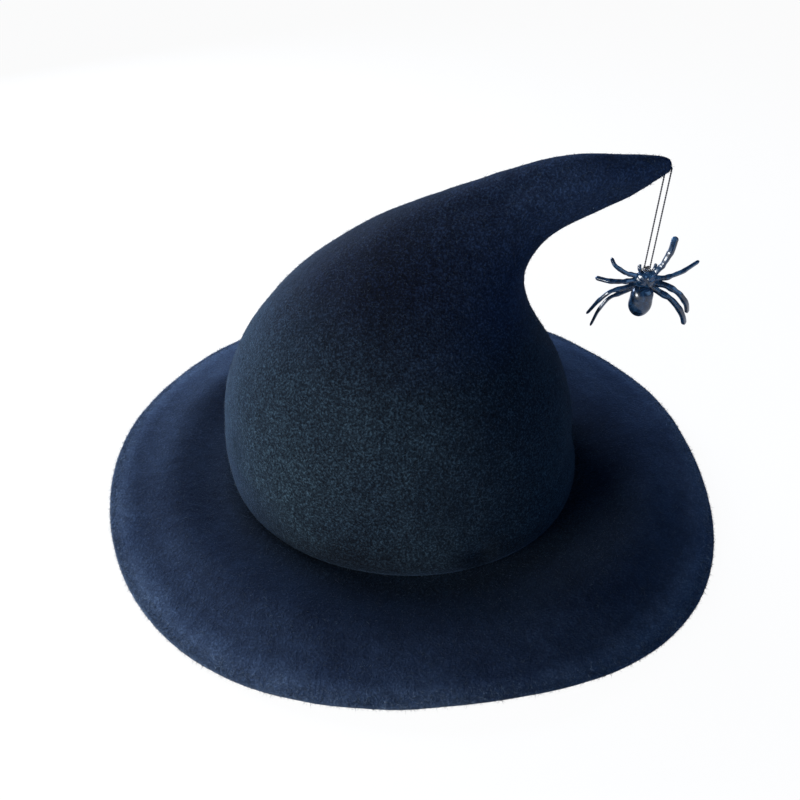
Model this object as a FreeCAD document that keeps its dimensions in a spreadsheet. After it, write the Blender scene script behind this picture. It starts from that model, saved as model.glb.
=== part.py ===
"""Witch hat: a felt hat with a crooked horn and a plastic spider on a doubled thread.

Millimetres, +Z up, +X towards the horn's tip. The origin is the middle of the brim,
on the surface that the hat stands on.
"""
import FreeCAD, Part
import math
import os

Vector = FreeCAD.Vector

# Driving dimensions. Each becomes a cell of the sheet with this alias.
DIMENSIONS = {
    "felt_thickness": 3.0,
    "felt_thickness_at_bend": 4.5,
    "felt_thickness_in_horn": 7.0,
    "brim_radius": 177.0,
    "brim_oval_depth": 4.5,
    "brim_oval_angle": 84.0,
    "brim_pull_depth": 2.0,
    "brim_pull_angle": 77.0,
    "brim_lobe_depth": 3.0,
    "brim_lobe_angle": -34.0,
    "brim_edge_lift": 7.0,
    "brim_hump_radius": 142.0,
    "brim_hump_height": 4.0,
    "brim_seat_width": 9.0,
    "brim_seat_trim": 0.3,
    "sweatband_thickness": 0.9,
    "sweatband_gap": 1.5,
    "overlap_length": 24.0,
    "stitch_length": 4.2,
    "stitch_pitch": 7.0,
    "stitch_radius": 0.3,
    "thread_radius": 0.28,
    "thread_spacing": 2.9,
    "thread_left_x": 114.1,
    "thread_left_top": 179.9,
    "thread_right_top": 181.8,
    "thread_end_gap": 1.6,
    "knot_height": 132.1,
    "knot_radius": 0.6,
    "tie_height": 130.9,
    "tie_radius": 1.95,
    "head_x": 116.0,
    "head_z": 125.2,
    "head_half_width": 5.6,
    "head_half_height": 4.7,
    "head_half_depth": 3.5,
    "abdomen_z": 112.4,
    "abdomen_half_width": 6.1,
    "abdomen_half_height": 8.6,
    "abdomen_half_depth": 5.0,
    "jaw_radius": 1.6,
    "palp_radius": 0.75,
    "leg_root_radius": 1.25,
    "leg_tip_radius": 0.9,
}

# Cross-sections of the crown from the head opening to the horn's tip: each is an oval,
# longer along the hat than across it. Columns: name, centre X, centre Z, half width in
# the plane of the bend, tilt of the section in degrees, and across/along ratio.
CROWN_SECTIONS = (
    ("headline", -5.0, 3.0, 98.5, 0.0, 0.97),
    ("roll", -6.0, 11.0, 101.5, 0.0, 0.97),
    ("belly", -8.0, 30.0, 100.0, 2.0, 0.965),
    ("flank", -6.0, 52.0, 97.0, 8.0, 0.955),
    ("shoulder", -0.5, 74.0, 90.0, 13.0, 0.94),
    ("slope", 5.5, 96.0, 77.0, 17.0, 0.92),
    ("neck", 14.5, 119.5, 56.0, 25.0, 0.88),
    ("bend", 28.0, 144.0, 33.0, 39.0, 0.84),
    ("horn", 50.5, 162.5, 19.8, 60.0, 0.80),
    ("beak", 80.0, 176.0, 14.6, 71.0, 0.78),
    ("point", 101.0, 181.8, 9.4, 72.0, 0.79),
    ("nib", 111.4, 185.3, 5.6, 74.0, 0.80),
    ("tip", 116.5, 186.3, 3.5, 76.0, 0.82),
)
# The felt is thicker where it is drawn up into the horn, and solid beyond that.
HOLLOW_WALLS = {"bend": "felt_thickness_at_bend", "horn": "felt_thickness_in_horn"}
HOLLOW_END = "horn"
BAND_SECTIONS = ("headline", "roll", "belly")

# Route of each leg from its root to its foot: X away from the head's middle, Y towards
# the belly side, Z up, with the first point inside the head.
LEGS = {
    "left_1": ((-3.0, 0.4, 1.2), (-11.6, -2.2, 4.3), (-18.2, -2.0, 8.4), (-19.2, 1.0, 11.6)),
    "left_2": ((-3.0, 0.6, -0.4), (-11.0, -2.4, -0.5), (-18.6, -2.4, -0.7), (-25.6, 1.8, -0.9)),
    "left_3": ((-2.4, 1.0, -2.6), (-10.5, -1.6, -4.6), (-17.6, -3.0, -5.8), (-22.3, -1.4, -12.4),
               (-26.2, 4.6, -24.6)),
    "left_4": ((-1.6, 1.6, -3.6), (-9.2, 2.2, -8.9), (-16.8, 0.4, -11.4), (-21.2, 0.8, -19.8),
               (-22.7, 5.4, -32.5)),
    "right_1": ((3.0, 0.4, 1.8), (6.6, -1.4, 8.6), (9.5, -1.6, 17.4), (11.0, 1.4, 24.0)),
    "right_2": ((3.2, 0.6, 0.4), (9.6, -2.0, 2.2), (17.6, -2.2, 6.4), (26.2, 2.2, 10.7)),
    "right_3": ((2.6, 1.0, -1.6), (10.6, -2.0, -1.8), (18.0, -3.2, -5.6), (24.0, -1.0, -12.8),
                (27.5, 4.4, -21.3)),
    "right_4": ((1.8, 1.6, -3.2), (9.2, 1.8, -7.9), (15.4, 0.2, -10.6), (21.0, 0.4, -16.2),
                (25.2, 2.0, -22.6), (27.9, 5.2, -29.2)),
}
PALPS = {
    "left": ((-2.6, 0.2, 3.0), (-4.2, 0.0, 6.0), (-4.3, 0.6, 7.6)),
    "right": ((2.4, 0.2, 3.2), (3.6, 0.0, 6.6), (3.9, 0.8, 8.4)),
}

RING_POINTS = 32
STITCH_INSET = 0.35

doc = FreeCAD.newDocument("witch_hat")
sheet = doc.addObject("Spreadsheet::Sheet", "sizes")
nodes = {}


def fill_sheet():
    """Write every driving dimension to the sheet as a plain number with an alias."""
    values = dict(DIMENSIONS)
    for name, x, z, half, tilt, ratio in CROWN_SECTIONS:
        values[name + "_x"] = x
        values[name + "_z"] = z
        values[name + "_half"] = half
        values[name + "_tilt"] = tilt
        values[name + "_ratio"] = ratio
    for row, (alias, value) in enumerate(values.items(), start=1):
        sheet.set("A%d" % row, alias)
        sheet.set("B%d" % row, repr(value))
        sheet.setAlias("B%d" % row, alias)
    doc.recompute()


def size(alias):
    """Value of one cell of the sheet, in millimetres or degrees."""
    return float(getattr(sheet, alias))


def bind(obj, **expressions):
    """Bind properties of an object to expressions; a double underscore stands for a dot."""
    for name, expression in expressions.items():
        obj.setExpression(name.replace("__", "."), expression)
    return obj


def keep(obj, label):
    """Register an object as one of the hat's pieces, under the piece's own name."""
    obj.Label = label
    nodes[label] = obj
    return obj


def cut(name, base, tool):
    result = doc.addObject("Part::Cut", name)
    result.Base = base
    result.Tool = tool
    return result


def fuse(name, shapes):
    result = doc.addObject("Part::MultiFuse", name)
    result.Shapes = shapes
    return result


def loft(name, sections):
    result = doc.addObject("Part::Loft", name)
    result.Sections = sections
    result.Solid = True
    result.Ruled = False
    return result


def oval(name, section, inset="0"):
    """Oval cross-section of the crown, smaller by an inset all round."""
    ring = doc.addObject("Part::Ellipse", name)
    ring.Placement = FreeCAD.Placement(Vector(), FreeCAD.Rotation(Vector(0, 1, 0), 1.0))
    return bind(
        ring,
        MajorRadius="sizes.%s_half - (%s)" % (section, inset),
        MinorRadius="sizes.%s_half * sizes.%s_ratio - (%s)" % (section, section, inset),
        Placement__Base__x="sizes.%s_x" % section,
        Placement__Base__z="sizes.%s_z" % section,
        Placement__Rotation__Angle="sizes.%s_tilt" % section,
    )


def make_crown():
    """Felt crown and horn: an outer loft less the hollow, one wall thickness in."""
    outside = loft("crown_outside", [
        oval("outer_" + section[0], section[0]) for section in CROWN_SECTIONS
    ])
    names = [section[0] for section in CROWN_SECTIONS]
    hollow_names = names[:names.index(HOLLOW_END) + 1]
    inside = loft("crown_hollow", [
        oval("inner_" + name, name, "sizes." + HOLLOW_WALLS.get(name, "felt_thickness"))
        for name in hollow_names
    ])
    keep(cut("crown", outside, inside), "felt_crown")


def ring_wire(radius_along, radius_across, centre_x, height):
    """Closed smooth wire; radii and height are functions of the angle round the hat."""
    points = []
    for step in range(RING_POINTS):
        angle = 2.0 * math.pi * step / RING_POINTS
        points.append(Vector(
            centre_x + radius_along(angle) * math.cos(angle),
            radius_across(angle) * math.sin(angle),
            height(angle),
        ))
    curve = Part.BSplineCurve()
    curve.interpolate(points, True)
    return Part.Wire(curve.toShape())


def make_brim():
    """Felt brim: a flat seat round the opening, a low hump, and a lobed, slightly oval
    edge that lifts a little between the four places where it rests. The seat's underside
    is lofted a little low and then trimmed to a true plane."""
    thickness = size("felt_thickness")
    opening = size("headline_half") - thickness
    across = size("headline_half") * size("headline_ratio") - thickness
    seat = size("brim_seat_width")
    oval_start = math.radians(size("brim_oval_angle"))
    pull_start = math.radians(size("brim_pull_angle"))
    lobe_start = math.radians(size("brim_lobe_angle"))

    def edge_radius(angle):
        oval_part = size("brim_oval_depth") * math.cos(2 * (angle - oval_start))
        pull_part = size("brim_pull_depth") * math.cos(3 * (angle - pull_start))
        lobe_part = size("brim_lobe_depth") * math.cos(4 * (angle - lobe_start))
        return size("brim_radius") + oval_part + pull_part + lobe_part

    def edge_height(angle):
        return 0.5 * size("brim_edge_lift") * (1.0 - math.cos(4 * (angle - lobe_start)))

    def fixed(value):
        return lambda angle: value

    stations = (
        (fixed(opening), fixed(across), size("headline_x"), fixed(0.0)),
        (fixed(opening + seat), fixed(across + seat), size("headline_x"), fixed(0.0)),
        (fixed(size("brim_hump_radius")), fixed(size("brim_hump_radius")), 0.0,
         fixed(size("brim_hump_height"))),
        (edge_radius, edge_radius, 0.0, edge_height),
    )
    underside = [ring_wire(*station) for station in stations]
    top = [wire.copy() for wire in reversed(underside)]
    for wire in underside[:2]:
        wire.translate(Vector(0, 0, -size("brim_seat_trim")))
    for wire in top:
        wire.translate(Vector(0, 0, thickness))
    sheet_of_felt = doc.addObject("Part::Feature", "brim_before_trim")
    shape = Part.makeLoft(underside + top, True, True, True)
    if shape.Volume < 0:
        shape.reverse()
    sheet_of_felt.Shape = shape
    waste = doc.addObject("Part::Box", "below_brim")
    bind(
        waste,
        Length="2 * sizes.brim_hump_radius",
        Width="2 * sizes.brim_hump_radius",
        Height="2 * sizes.felt_thickness",
        Placement__Base__x="-sizes.brim_hump_radius",
        Placement__Base__y="-sizes.brim_hump_radius",
        Placement__Base__z="-2 * sizes.felt_thickness",
    )
    keep(cut("brim", sheet_of_felt, waste), "felt_brim")


def make_sweatband():
    """Ribbon band inside the head opening, the lap where its ends meet at the back,
    and the row of stitches that holds its lower edge."""
    gap = "sizes.felt_thickness + sizes.sweatband_gap"
    inner_gap = gap + " + sizes.sweatband_thickness"
    lap_gap = inner_gap + " + 0.05"
    lap_inner_gap = lap_gap + " + sizes.sweatband_thickness"

    def layer(name, outer_inset, inner_inset):
        sides = []
        for side, inset in (("outside", outer_inset), ("inside", inner_inset)):
            rings = [oval("%s_%s_%s" % (name, side, s), s, inset) for s in BAND_SECTIONS]
            sides.append(loft("%s_%s" % (name, side), rings))
        return cut(name, *sides)

    keep(layer("band", gap, inner_gap), "sweatband")

    window = doc.addObject("Part::Box", "lap_window")
    bind(
        window,
        Length="sizes.headline_half",
        Width="sizes.overlap_length",
        Height="sizes.belly_z",
        Placement__Base__y="-sizes.overlap_length / 2",
    )
    lap = doc.addObject("Part::MultiCommon", "lap")
    lap.Shapes = [layer("lap_ring", lap_gap, lap_inner_gap), window]
    keep(lap, "sweatband_overlap")


def make_stitches():
    """Running stitches on the inner face of the sweatband, just above its lower edge."""
    radius = size("stitch_radius")
    length = size("stitch_length")
    inset = size("felt_thickness") + size("sweatband_gap") + 2.2 * size("sweatband_thickness")
    along = size("headline_half") - inset - radius - STITCH_INSET
    across = size("headline_half") * size("headline_ratio") - inset - radius - STITCH_INSET
    count = round(math.pi * (along + across) / size("stitch_pitch"))
    height = size("headline_z") + 2.0
    stitches = []
    for step in range(count):
        angle = 2.0 * math.pi * step / count
        middle = Vector(
            size("headline_x") + along * math.cos(angle),
            across * math.sin(angle),
            height,
        )
        heading = Vector(-along * math.sin(angle), across * math.cos(angle), 0).normalize()
        start = middle - heading * (length / 2)
        stitches.append(Part.makeCylinder(radius, length, start, heading))
    row = doc.addObject("Part::Feature", "stitch_row")
    row.Shape = Part.makeCompound(stitches)
    keep(row, "sweatband_stitches")


def cylinder_between(name, start, end, radius):
    """Part::Cylinder from one point to another, its radius bound to the sheet."""
    run = end - start
    piece = doc.addObject("Part::Cylinder", name)
    piece.Height = run.Length
    piece.Placement = FreeCAD.Placement(start, FreeCAD.Rotation(Vector(0, 0, 1), run))
    return bind(piece, Radius=radius)


def ball(name, centre, radius):
    piece = doc.addObject("Part::Sphere", name)
    piece.Placement = FreeCAD.Placement(centre, FreeCAD.Rotation())
    return bind(piece, Radius=radius)


def capsule(name, start, end, radius):
    """Round bar with round ends."""
    return fuse(name, [
        cylinder_between(name + "_bar", start, end, radius),
        ball(name + "_start", start, radius),
        ball(name + "_end", end, radius),
    ])


def make_thread():
    """Doubled thread: the stitch through the horn's tip, the two strands that hang from
    its ends, and the knot that gathers them above the spider. The strands stop short of
    the stitch and of the knot so that each can turn about its end."""
    left_x = size("thread_left_x")
    right_x = left_x + size("thread_spacing")
    left_top = Vector(left_x, 0, size("thread_left_top"))
    right_top = Vector(right_x, 0, size("thread_right_top"))
    keep(capsule("stitch", left_top, right_top, "sizes.thread_radius"), "tip_stitch")

    for side, alias in (("left", "thread_left"), ("right", "thread_right")):
        strand = doc.addObject("Part::Cylinder", "strand_" + side)
        offset = "" if side == "left" else " + sizes.thread_spacing"
        bind(
            strand,
            Radius="sizes.thread_radius",
            Height="sizes.%s_top - sizes.knot_height - 2 * sizes.thread_end_gap" % alias,
            Placement__Base__x="sizes.thread_left_x" + offset,
            Placement__Base__z="sizes.knot_height + sizes.thread_end_gap",
        )
        keep(strand, alias)

    knot_height = size("knot_height")
    knot = capsule(
        "knot",
        Vector(left_x, 0, knot_height),
        Vector(right_x, 0, knot_height),
        "sizes.knot_radius",
    )
    keep(knot, "spider_knot")

    tie = doc.addObject("Part::Torus", "tie")
    bind(
        tie,
        Radius1="sizes.tie_radius",
        Radius2="sizes.thread_radius",
        Placement__Base__x="sizes.thread_left_x + sizes.thread_spacing / 2",
        Placement__Base__z="sizes.tie_height",
    )
    keep(tie, "spider_tie")


def egg(name, part, centre_z):
    """Ellipsoid with its three half sizes bound to the sheet."""
    piece = doc.addObject("Part::Ellipsoid", name)
    piece.Angle1 = -90
    return bind(
        piece,
        Radius1="sizes.%s_half_height" % part,
        Radius2="sizes.%s_half_width" % part,
        Radius3="sizes.%s_half_depth" % part,
        Placement__Base__x="sizes.head_x",
        Placement__Base__z=centre_z,
    )


def limb(name, route, root_radius, tip_radius):
    """Tapered limb through the points of a route, with a ball at each joint and a round foot."""
    head = Vector(size("head_x"), 0, size("head_z"))
    points = [head + Vector(*point) for point in route]
    spans = len(points) - 1
    pieces = []

    def radius_at(step):
        share = step / spans
        return "sizes.%s * %g + sizes.%s * %g" % (root_radius, 1 - share, tip_radius, share)

    for step in range(spans):
        run = points[step + 1] - points[step]
        segment = doc.addObject("Part::Cone", "%s_segment_%d" % (name, step))
        segment.Height = run.Length
        segment.Placement = FreeCAD.Placement(
            points[step], FreeCAD.Rotation(Vector(0, 0, 1), run))
        bind(segment, Radius1=radius_at(step), Radius2=radius_at(step + 1))
        pieces.append(segment)
        pieces.append(ball("%s_joint_%d" % (name, step), points[step + 1], radius_at(step + 1)))
    return fuse(name + "_whole", pieces)


def make_spider():
    """Moulded spider: head, jaws, abdomen, palps and eight legs, each trimmed where it
    meets the piece that it grows from."""
    head = keep(egg("head", "head", "sizes.head_z"), "spider_head")
    whole_abdomen = egg("abdomen_whole", "abdomen", "sizes.abdomen_z")
    abdomen = keep(cut("abdomen", whole_abdomen, head), "spider_abdomen")

    jaw_x = size("thread_left_x") + size("thread_spacing") / 2
    jaw_top = size("tie_height") - 1.3
    jaws = capsule("jaws_whole", Vector(jaw_x, 0, jaw_top - 2), Vector(jaw_x, 0, jaw_top),
                   "sizes.jaw_radius")
    keep(cut("jaws", jaws, head), "spider_jaws")

    for name, route in LEGS.items():
        whole = limb("leg_" + name, route, "leg_root_radius", "leg_tip_radius")
        side, number = name.split("_")
        neighbours = [head, abdomen]
        if number != "1":
            neighbours.append(nodes["spider_leg_%s_%d" % (side, int(number) - 1)])
        trim = fuse("leg_%s_trim" % name, neighbours)
        keep(cut("leg_" + name, whole, trim), "spider_leg_" + name)

    for side, route in PALPS.items():
        whole = limb("palp_" + side, route, "palp_radius", "palp_radius")
        neighbours = [head, nodes["spider_jaws"], nodes["spider_leg_%s_1" % side]]
        trim = fuse("palp_%s_trim" % side, neighbours)
        keep(cut("palp_" + side, whole, trim), "spider_palp_" + side)


def check_document():
    """Stop if any object failed, or if a piece is empty or not a sound solid."""
    doc.recompute()
    for obj in doc.Objects:
        if "Invalid" in obj.State or "Error" in obj.State:
            raise RuntimeError("object failed: %s %s" % (obj.Name, obj.State))
    for label, obj in nodes.items():
        shape = obj.Shape
        if shape.isNull() or not shape.isValid() or shape.Volume <= 0:
            raise RuntimeError("bad shape: " + label)
        print("%-22s solids %2d  volume %9.1f mm3" % (label, len(shape.Solids), shape.Volume))


def write_parts():
    os.makedirs("parts", exist_ok=True)
    for label, obj in nodes.items():
        obj.Shape.exportStep("parts/%s.step" % label)


fill_sheet()
make_crown()
make_brim()
make_sweatband()
make_stitches()
make_thread()
make_spider()
check_document()
write_parts()
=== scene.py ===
"""Looks of the witch hat: felt body, sweatband, hanging thread and plastic spider.

Everything is in metres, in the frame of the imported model: +Z up, +X towards the horn's tip.
"""

import math

import bpy
import numpy as np
from mathutils import Matrix, Vector, noise
from mathutils.bvhtree import BVHTree


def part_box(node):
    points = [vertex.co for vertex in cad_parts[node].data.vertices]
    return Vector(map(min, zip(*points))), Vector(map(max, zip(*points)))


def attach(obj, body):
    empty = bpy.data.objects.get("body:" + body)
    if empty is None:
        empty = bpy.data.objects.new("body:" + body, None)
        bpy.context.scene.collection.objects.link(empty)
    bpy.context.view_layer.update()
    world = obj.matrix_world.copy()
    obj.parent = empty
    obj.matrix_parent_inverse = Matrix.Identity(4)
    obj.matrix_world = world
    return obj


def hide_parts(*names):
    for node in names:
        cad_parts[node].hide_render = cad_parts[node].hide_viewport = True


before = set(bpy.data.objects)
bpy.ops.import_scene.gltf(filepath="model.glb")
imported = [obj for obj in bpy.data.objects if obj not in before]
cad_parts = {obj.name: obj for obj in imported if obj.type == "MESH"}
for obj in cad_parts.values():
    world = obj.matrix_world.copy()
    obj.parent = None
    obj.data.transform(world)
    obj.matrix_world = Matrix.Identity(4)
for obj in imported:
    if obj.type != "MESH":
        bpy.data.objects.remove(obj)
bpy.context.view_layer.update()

MM = 0.001
TURN = 2.0 * math.pi

SWEEP_SIDES = 20

# How finely the felt is meshed, and how many loose fibres stand on it.
CROWN_VOXEL = 1.35 * MM
CROWN_SMOOTHING = 10
BRIM_COLUMNS = 720
BRIM_ROWS = 34
BRIM_EDGE_ROWS = 9
FIBRES_ON_CROWN = 42000
FIBRES_ON_BRIM = 30000
FIBRES_ON_RIM = 34000

# The crown's spine, as (X, Z) in the plane of the bend, from the head opening to the tip.
SPINE = ((-6, 0), (-8, 30), (-1, 74), (14, 119), (28, 144), (50, 162), (80, 176), (117, 186))
# The fold that runs along each side of the horn and fades out on the crown.
FOLD = ((112, 186), (84, 182), (56, 172), (40, 163), (24, 158), (2, 151), (-22, 141))
FOLD_HEIGHT = 2.6 * MM
FOLD_WIDTH = 6.5 * MM
# A small pinch where the crown meets the brim, as (X, Y, Z).
PINCH = (37 * MM, -92 * MM, 10 * MM)
PINCH_DEPTH = 2.2 * MM
PINCH_SIZE = 8.0 * MM
# The crown's foot: a crease, a flare in front of it, and how far it sinks into the brim.
CREASE_DEPTH = 0.6 * MM
CREASE_SIZE = 3.0 * MM
BASE_FLARE = 1.3 * MM
BASE_FLARE_SIZE = 7.0 * MM
FOOT_SINK = 2.6 * MM
FOOT_HEIGHT = 6.0 * MM
# Half the thickness of the crown's wall, and how far it leans out with height.
HALF_WALL = 1.5 * MM
WALL_LEAN = 0.375
# Depth and size of the crown's dents and lumps, from the largest to the smallest.
CROWN_DENTS = ((1.9 * MM, 55.0 * MM), (0.55 * MM, 17.0 * MM), (0.14 * MM, 5.0 * MM))
# The brim: its felt, the valley beside the crown, the hump and the rim.
BRIM_THICKNESS = 3.0 * MM
BRIM_WAVE, BRIM_WAVE_SIZE = 1.6 * MM, 70.0 * MM
BRIM_RIPPLE, BRIM_RIPPLE_SIZE = 0.5 * MM, 22.0 * MM
BRIM_LUMP, BRIM_LUMP_SIZE = 0.12 * MM, 5.0 * MM
LOWEST_UNDERSIDE = 0.1 * MM
VALLEY_DEPTH = 1.2 * MM
HUMP_RISE = 2.6 * MM
RIM_WIDTH = 9.0 * MM
RIM_DROP = 1.1 * MM
# Breadth over depth of the brim's outline.
BRIM_ROUNDNESS = 0.95
# Share of its coarse grain that the felt loses on the brim, and on the horn beside that.
BRIM_SMOOTHNESS = 0.68
HORN_SMOOTHNESS = 0.75


# ---- helpers

def add_object(name, mesh, material):
    obj = bpy.data.objects.new(name, mesh)
    bpy.context.scene.collection.objects.link(obj)
    mesh.materials.clear()
    mesh.materials.append(material)
    mesh.shade_smooth()
    return obj


def mesh_from(name, points, faces):
    mesh = bpy.data.meshes.new(name)
    mesh.from_pydata([tuple(p) for p in points], [], [tuple(f) for f in faces])
    mesh.update()
    return mesh


def dress(obj, body, slot, *nodes):
    """Rides a piece on its body and hides the CAD nodes it stands for; slot is not used."""
    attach(obj, body)
    if nodes:
        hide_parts(*nodes)
    return obj


def cad_tree(node):
    """Search tree of a CAD node's surface."""
    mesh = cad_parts[node].data
    points = [v.co.copy() for v in mesh.vertices]
    return BVHTree.FromPolygons(points, [tuple(p.vertices) for p in mesh.polygons])


def remeshed(node, voxel, smoothing):
    """A CAD node's shape as an even mesh of small quads, slightly smoothed."""
    obj = bpy.data.objects.new(node + "_copy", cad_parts[node].data.copy())
    bpy.context.scene.collection.objects.link(obj)
    remesh = obj.modifiers.new("remesh", "REMESH")
    remesh.mode = "VOXEL"
    remesh.voxel_size = voxel
    smooth = obj.modifiers.new("smooth", "SMOOTH")
    smooth.factor = 0.5
    smooth.iterations = smoothing
    graph = bpy.context.evaluated_depsgraph_get()
    mesh = bpy.data.meshes.new_from_object(obj.evaluated_get(graph))
    bpy.data.objects.remove(obj)
    return mesh


def get_points(mesh):
    flat = np.empty(len(mesh.vertices) * 3)
    mesh.vertices.foreach_get("co", flat)
    return flat.reshape(-1, 3)


def set_points(mesh, points):
    mesh.vertices.foreach_set("co", points.ravel())
    mesh.update()


def noise_field(points, grain, seed):
    """Smooth noise of about -1 to 1 at each point, with lumps of about one grain across."""
    shift = Vector((seed * 7.31, seed * 3.17, seed * 5.73))
    return np.array([noise.noise(Vector(p) / grain + shift) for p in points])


def polyline_distance(points, line):
    """Distance from 2D points to a polyline, how far along it they are from 0 to 1, and
    the vector from the nearest point of the line."""
    best = np.full(len(points), 1e9)
    along = np.zeros(len(points))
    away = np.zeros((len(points), 2))
    lengths = np.hypot(*np.diff(line, axis=0).T)
    total = lengths.sum()
    start = 0.0
    for a, b, length in zip(line[:-1], line[1:], lengths):
        share = np.clip((points - a) @ (b - a) / length ** 2, 0.0, 1.0)
        offset = points - (a + share[:, None] * (b - a))
        distance = np.hypot(offset[:, 0], offset[:, 1])
        nearer = distance < best
        best = np.where(nearer, distance, best)
        along = np.where(nearer, (start + share * length) / total, along)
        away = np.where(nearer[:, None], offset, away)
        start += length
    return best, along, away


def smoothstep(value, low, high):
    share = np.clip((value - low) / (high - low), 0.0, 1.0)
    return share * share * (3.0 - 2.0 * share)


def blur_rings(values, width):
    """Soft average along the last axis, which closes on itself."""
    kernel = np.exp(-0.5 * (np.arange(-3 * width, 3 * width + 1) / width) ** 2)
    kernel /= kernel.sum()
    return sum(k * np.roll(values, i - 3 * width, axis=-1) for i, k in enumerate(kernel))


def grid_faces(rows, columns, closed_rows=False):
    """Quads of a grid whose columns close on themselves."""
    faces = []
    for row in range(rows if closed_rows else rows - 1):
        below = row * columns
        above = ((row + 1) % rows) * columns
        for column in range(columns):
            after = (column + 1) % columns
            faces.append((below + column, below + after, above + after, above + column))
    return faces


def frames_along(points):
    """Side and up vectors along a path, turning as little as possible."""
    tangents = np.gradient(points, axis=0)
    tangents /= np.linalg.norm(tangents, axis=1)[:, None]
    helper = np.array([0.0, -1.0, 0.0])
    if abs(tangents[0] @ helper) > 0.9:
        helper = np.array([1.0, 0.0, 0.0])
    ups = np.empty_like(tangents)
    up = helper
    for i, tangent in enumerate(tangents):
        up = up - tangent * (up @ tangent)
        up /= np.linalg.norm(up)
        ups[i] = up
    return np.cross(ups, tangents), ups


def sweep(name, points, section, closed=False):
    """Tube along a path. section(share, angles) gives side and up offsets in metres."""
    sides = SWEEP_SIDES
    angles = np.arange(sides) / sides * TURN
    side, up = frames_along(points)
    rings = []
    for i, point in enumerate(points):
        across, above = section(i / (len(points) - 1), angles)
        rings.append(point + across[:, None] * side[i] + above[:, None] * up[i])
    vertices = np.concatenate(rings)
    faces = grid_faces(len(points), sides, closed)
    if not closed:
        faces.append(tuple(reversed(range(sides))))
        faces.append(tuple(range((len(points) - 1) * sides, len(points) * sides)))
    return mesh_from(name, vertices, faces)


# ---- materials

def new_material(name):
    material = bpy.data.materials.new(name)
    material.use_nodes = True
    return material, material.node_tree, material.node_tree.nodes["Principled BSDF"]


def set_sockets(node, values):
    for name, value in values.items():
        node.inputs[name].default_value = value


def add_noise(tree, coordinates, scale, detail=4.0, roughness=0.6, distortion=0.0):
    node = tree.nodes.new("ShaderNodeTexNoise")
    set_sockets(node, {
        "Scale": scale, "Detail": detail, "Roughness": roughness, "Distortion": distortion})
    tree.links.new(coordinates, node.inputs["Vector"])
    return node.outputs["Fac"]


def add_ramp(tree, value, stops):
    """Colour ramp; stops are (position, colour) or (position, grey)."""
    node = tree.nodes.new("ShaderNodeValToRGB")
    ramp = node.color_ramp
    while len(ramp.elements) < len(stops):
        ramp.elements.new(0.5)
    for element, (position, colour) in zip(ramp.elements, stops):
        if not isinstance(colour, tuple):
            colour = (colour, colour, colour)
        element.position = position
        element.color = (*colour, 1.0)
    tree.links.new(value, node.inputs["Fac"])
    return node.outputs["Color"]


def add_mix(tree, share, first, second, blend="MIX"):
    """Mix of two colours; each input is a socket or a plain value."""
    node = tree.nodes.new("ShaderNodeMix")
    node.data_type = "RGBA"
    node.blend_type = blend
    sockets = (node.inputs[0], node.inputs[6], node.inputs[7])
    for socket, value in zip(sockets, (share, first, second)):
        if isinstance(value, bpy.types.NodeSocket):
            tree.links.new(value, socket)
        elif isinstance(value, float):
            socket.default_value = value
        else:
            socket.default_value = (*value, 1.0)
    return node.outputs[2]


def add_bump(tree, height, strength, distance, before=None):
    """Bump by a height, on top of an earlier bump when there is one."""
    node = tree.nodes.new("ShaderNodeBump")
    node.inputs["Strength"].default_value = strength
    node.inputs["Distance"].default_value = distance
    tree.links.new(height, node.inputs["Height"])
    if before is not None:
        tree.links.new(before, node.inputs["Normal"])
    return node.outputs["Normal"]


def add_maths(tree, operation, first, second):
    """Arithmetic on two values; each is a socket or a plain number."""
    node = tree.nodes.new("ShaderNodeMath")
    node.operation = operation
    for socket, value in zip(node.inputs, (first, second)):
        if isinstance(value, bpy.types.NodeSocket):
            tree.links.new(value, socket)
        else:
            socket.default_value = value
    return node.outputs[0]


def times(tree, first, second):
    return add_maths(tree, "MULTIPLY", first, second)


def object_coordinates(tree):
    return tree.nodes.new("ShaderNodeTexCoord").outputs["Object"]


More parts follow.
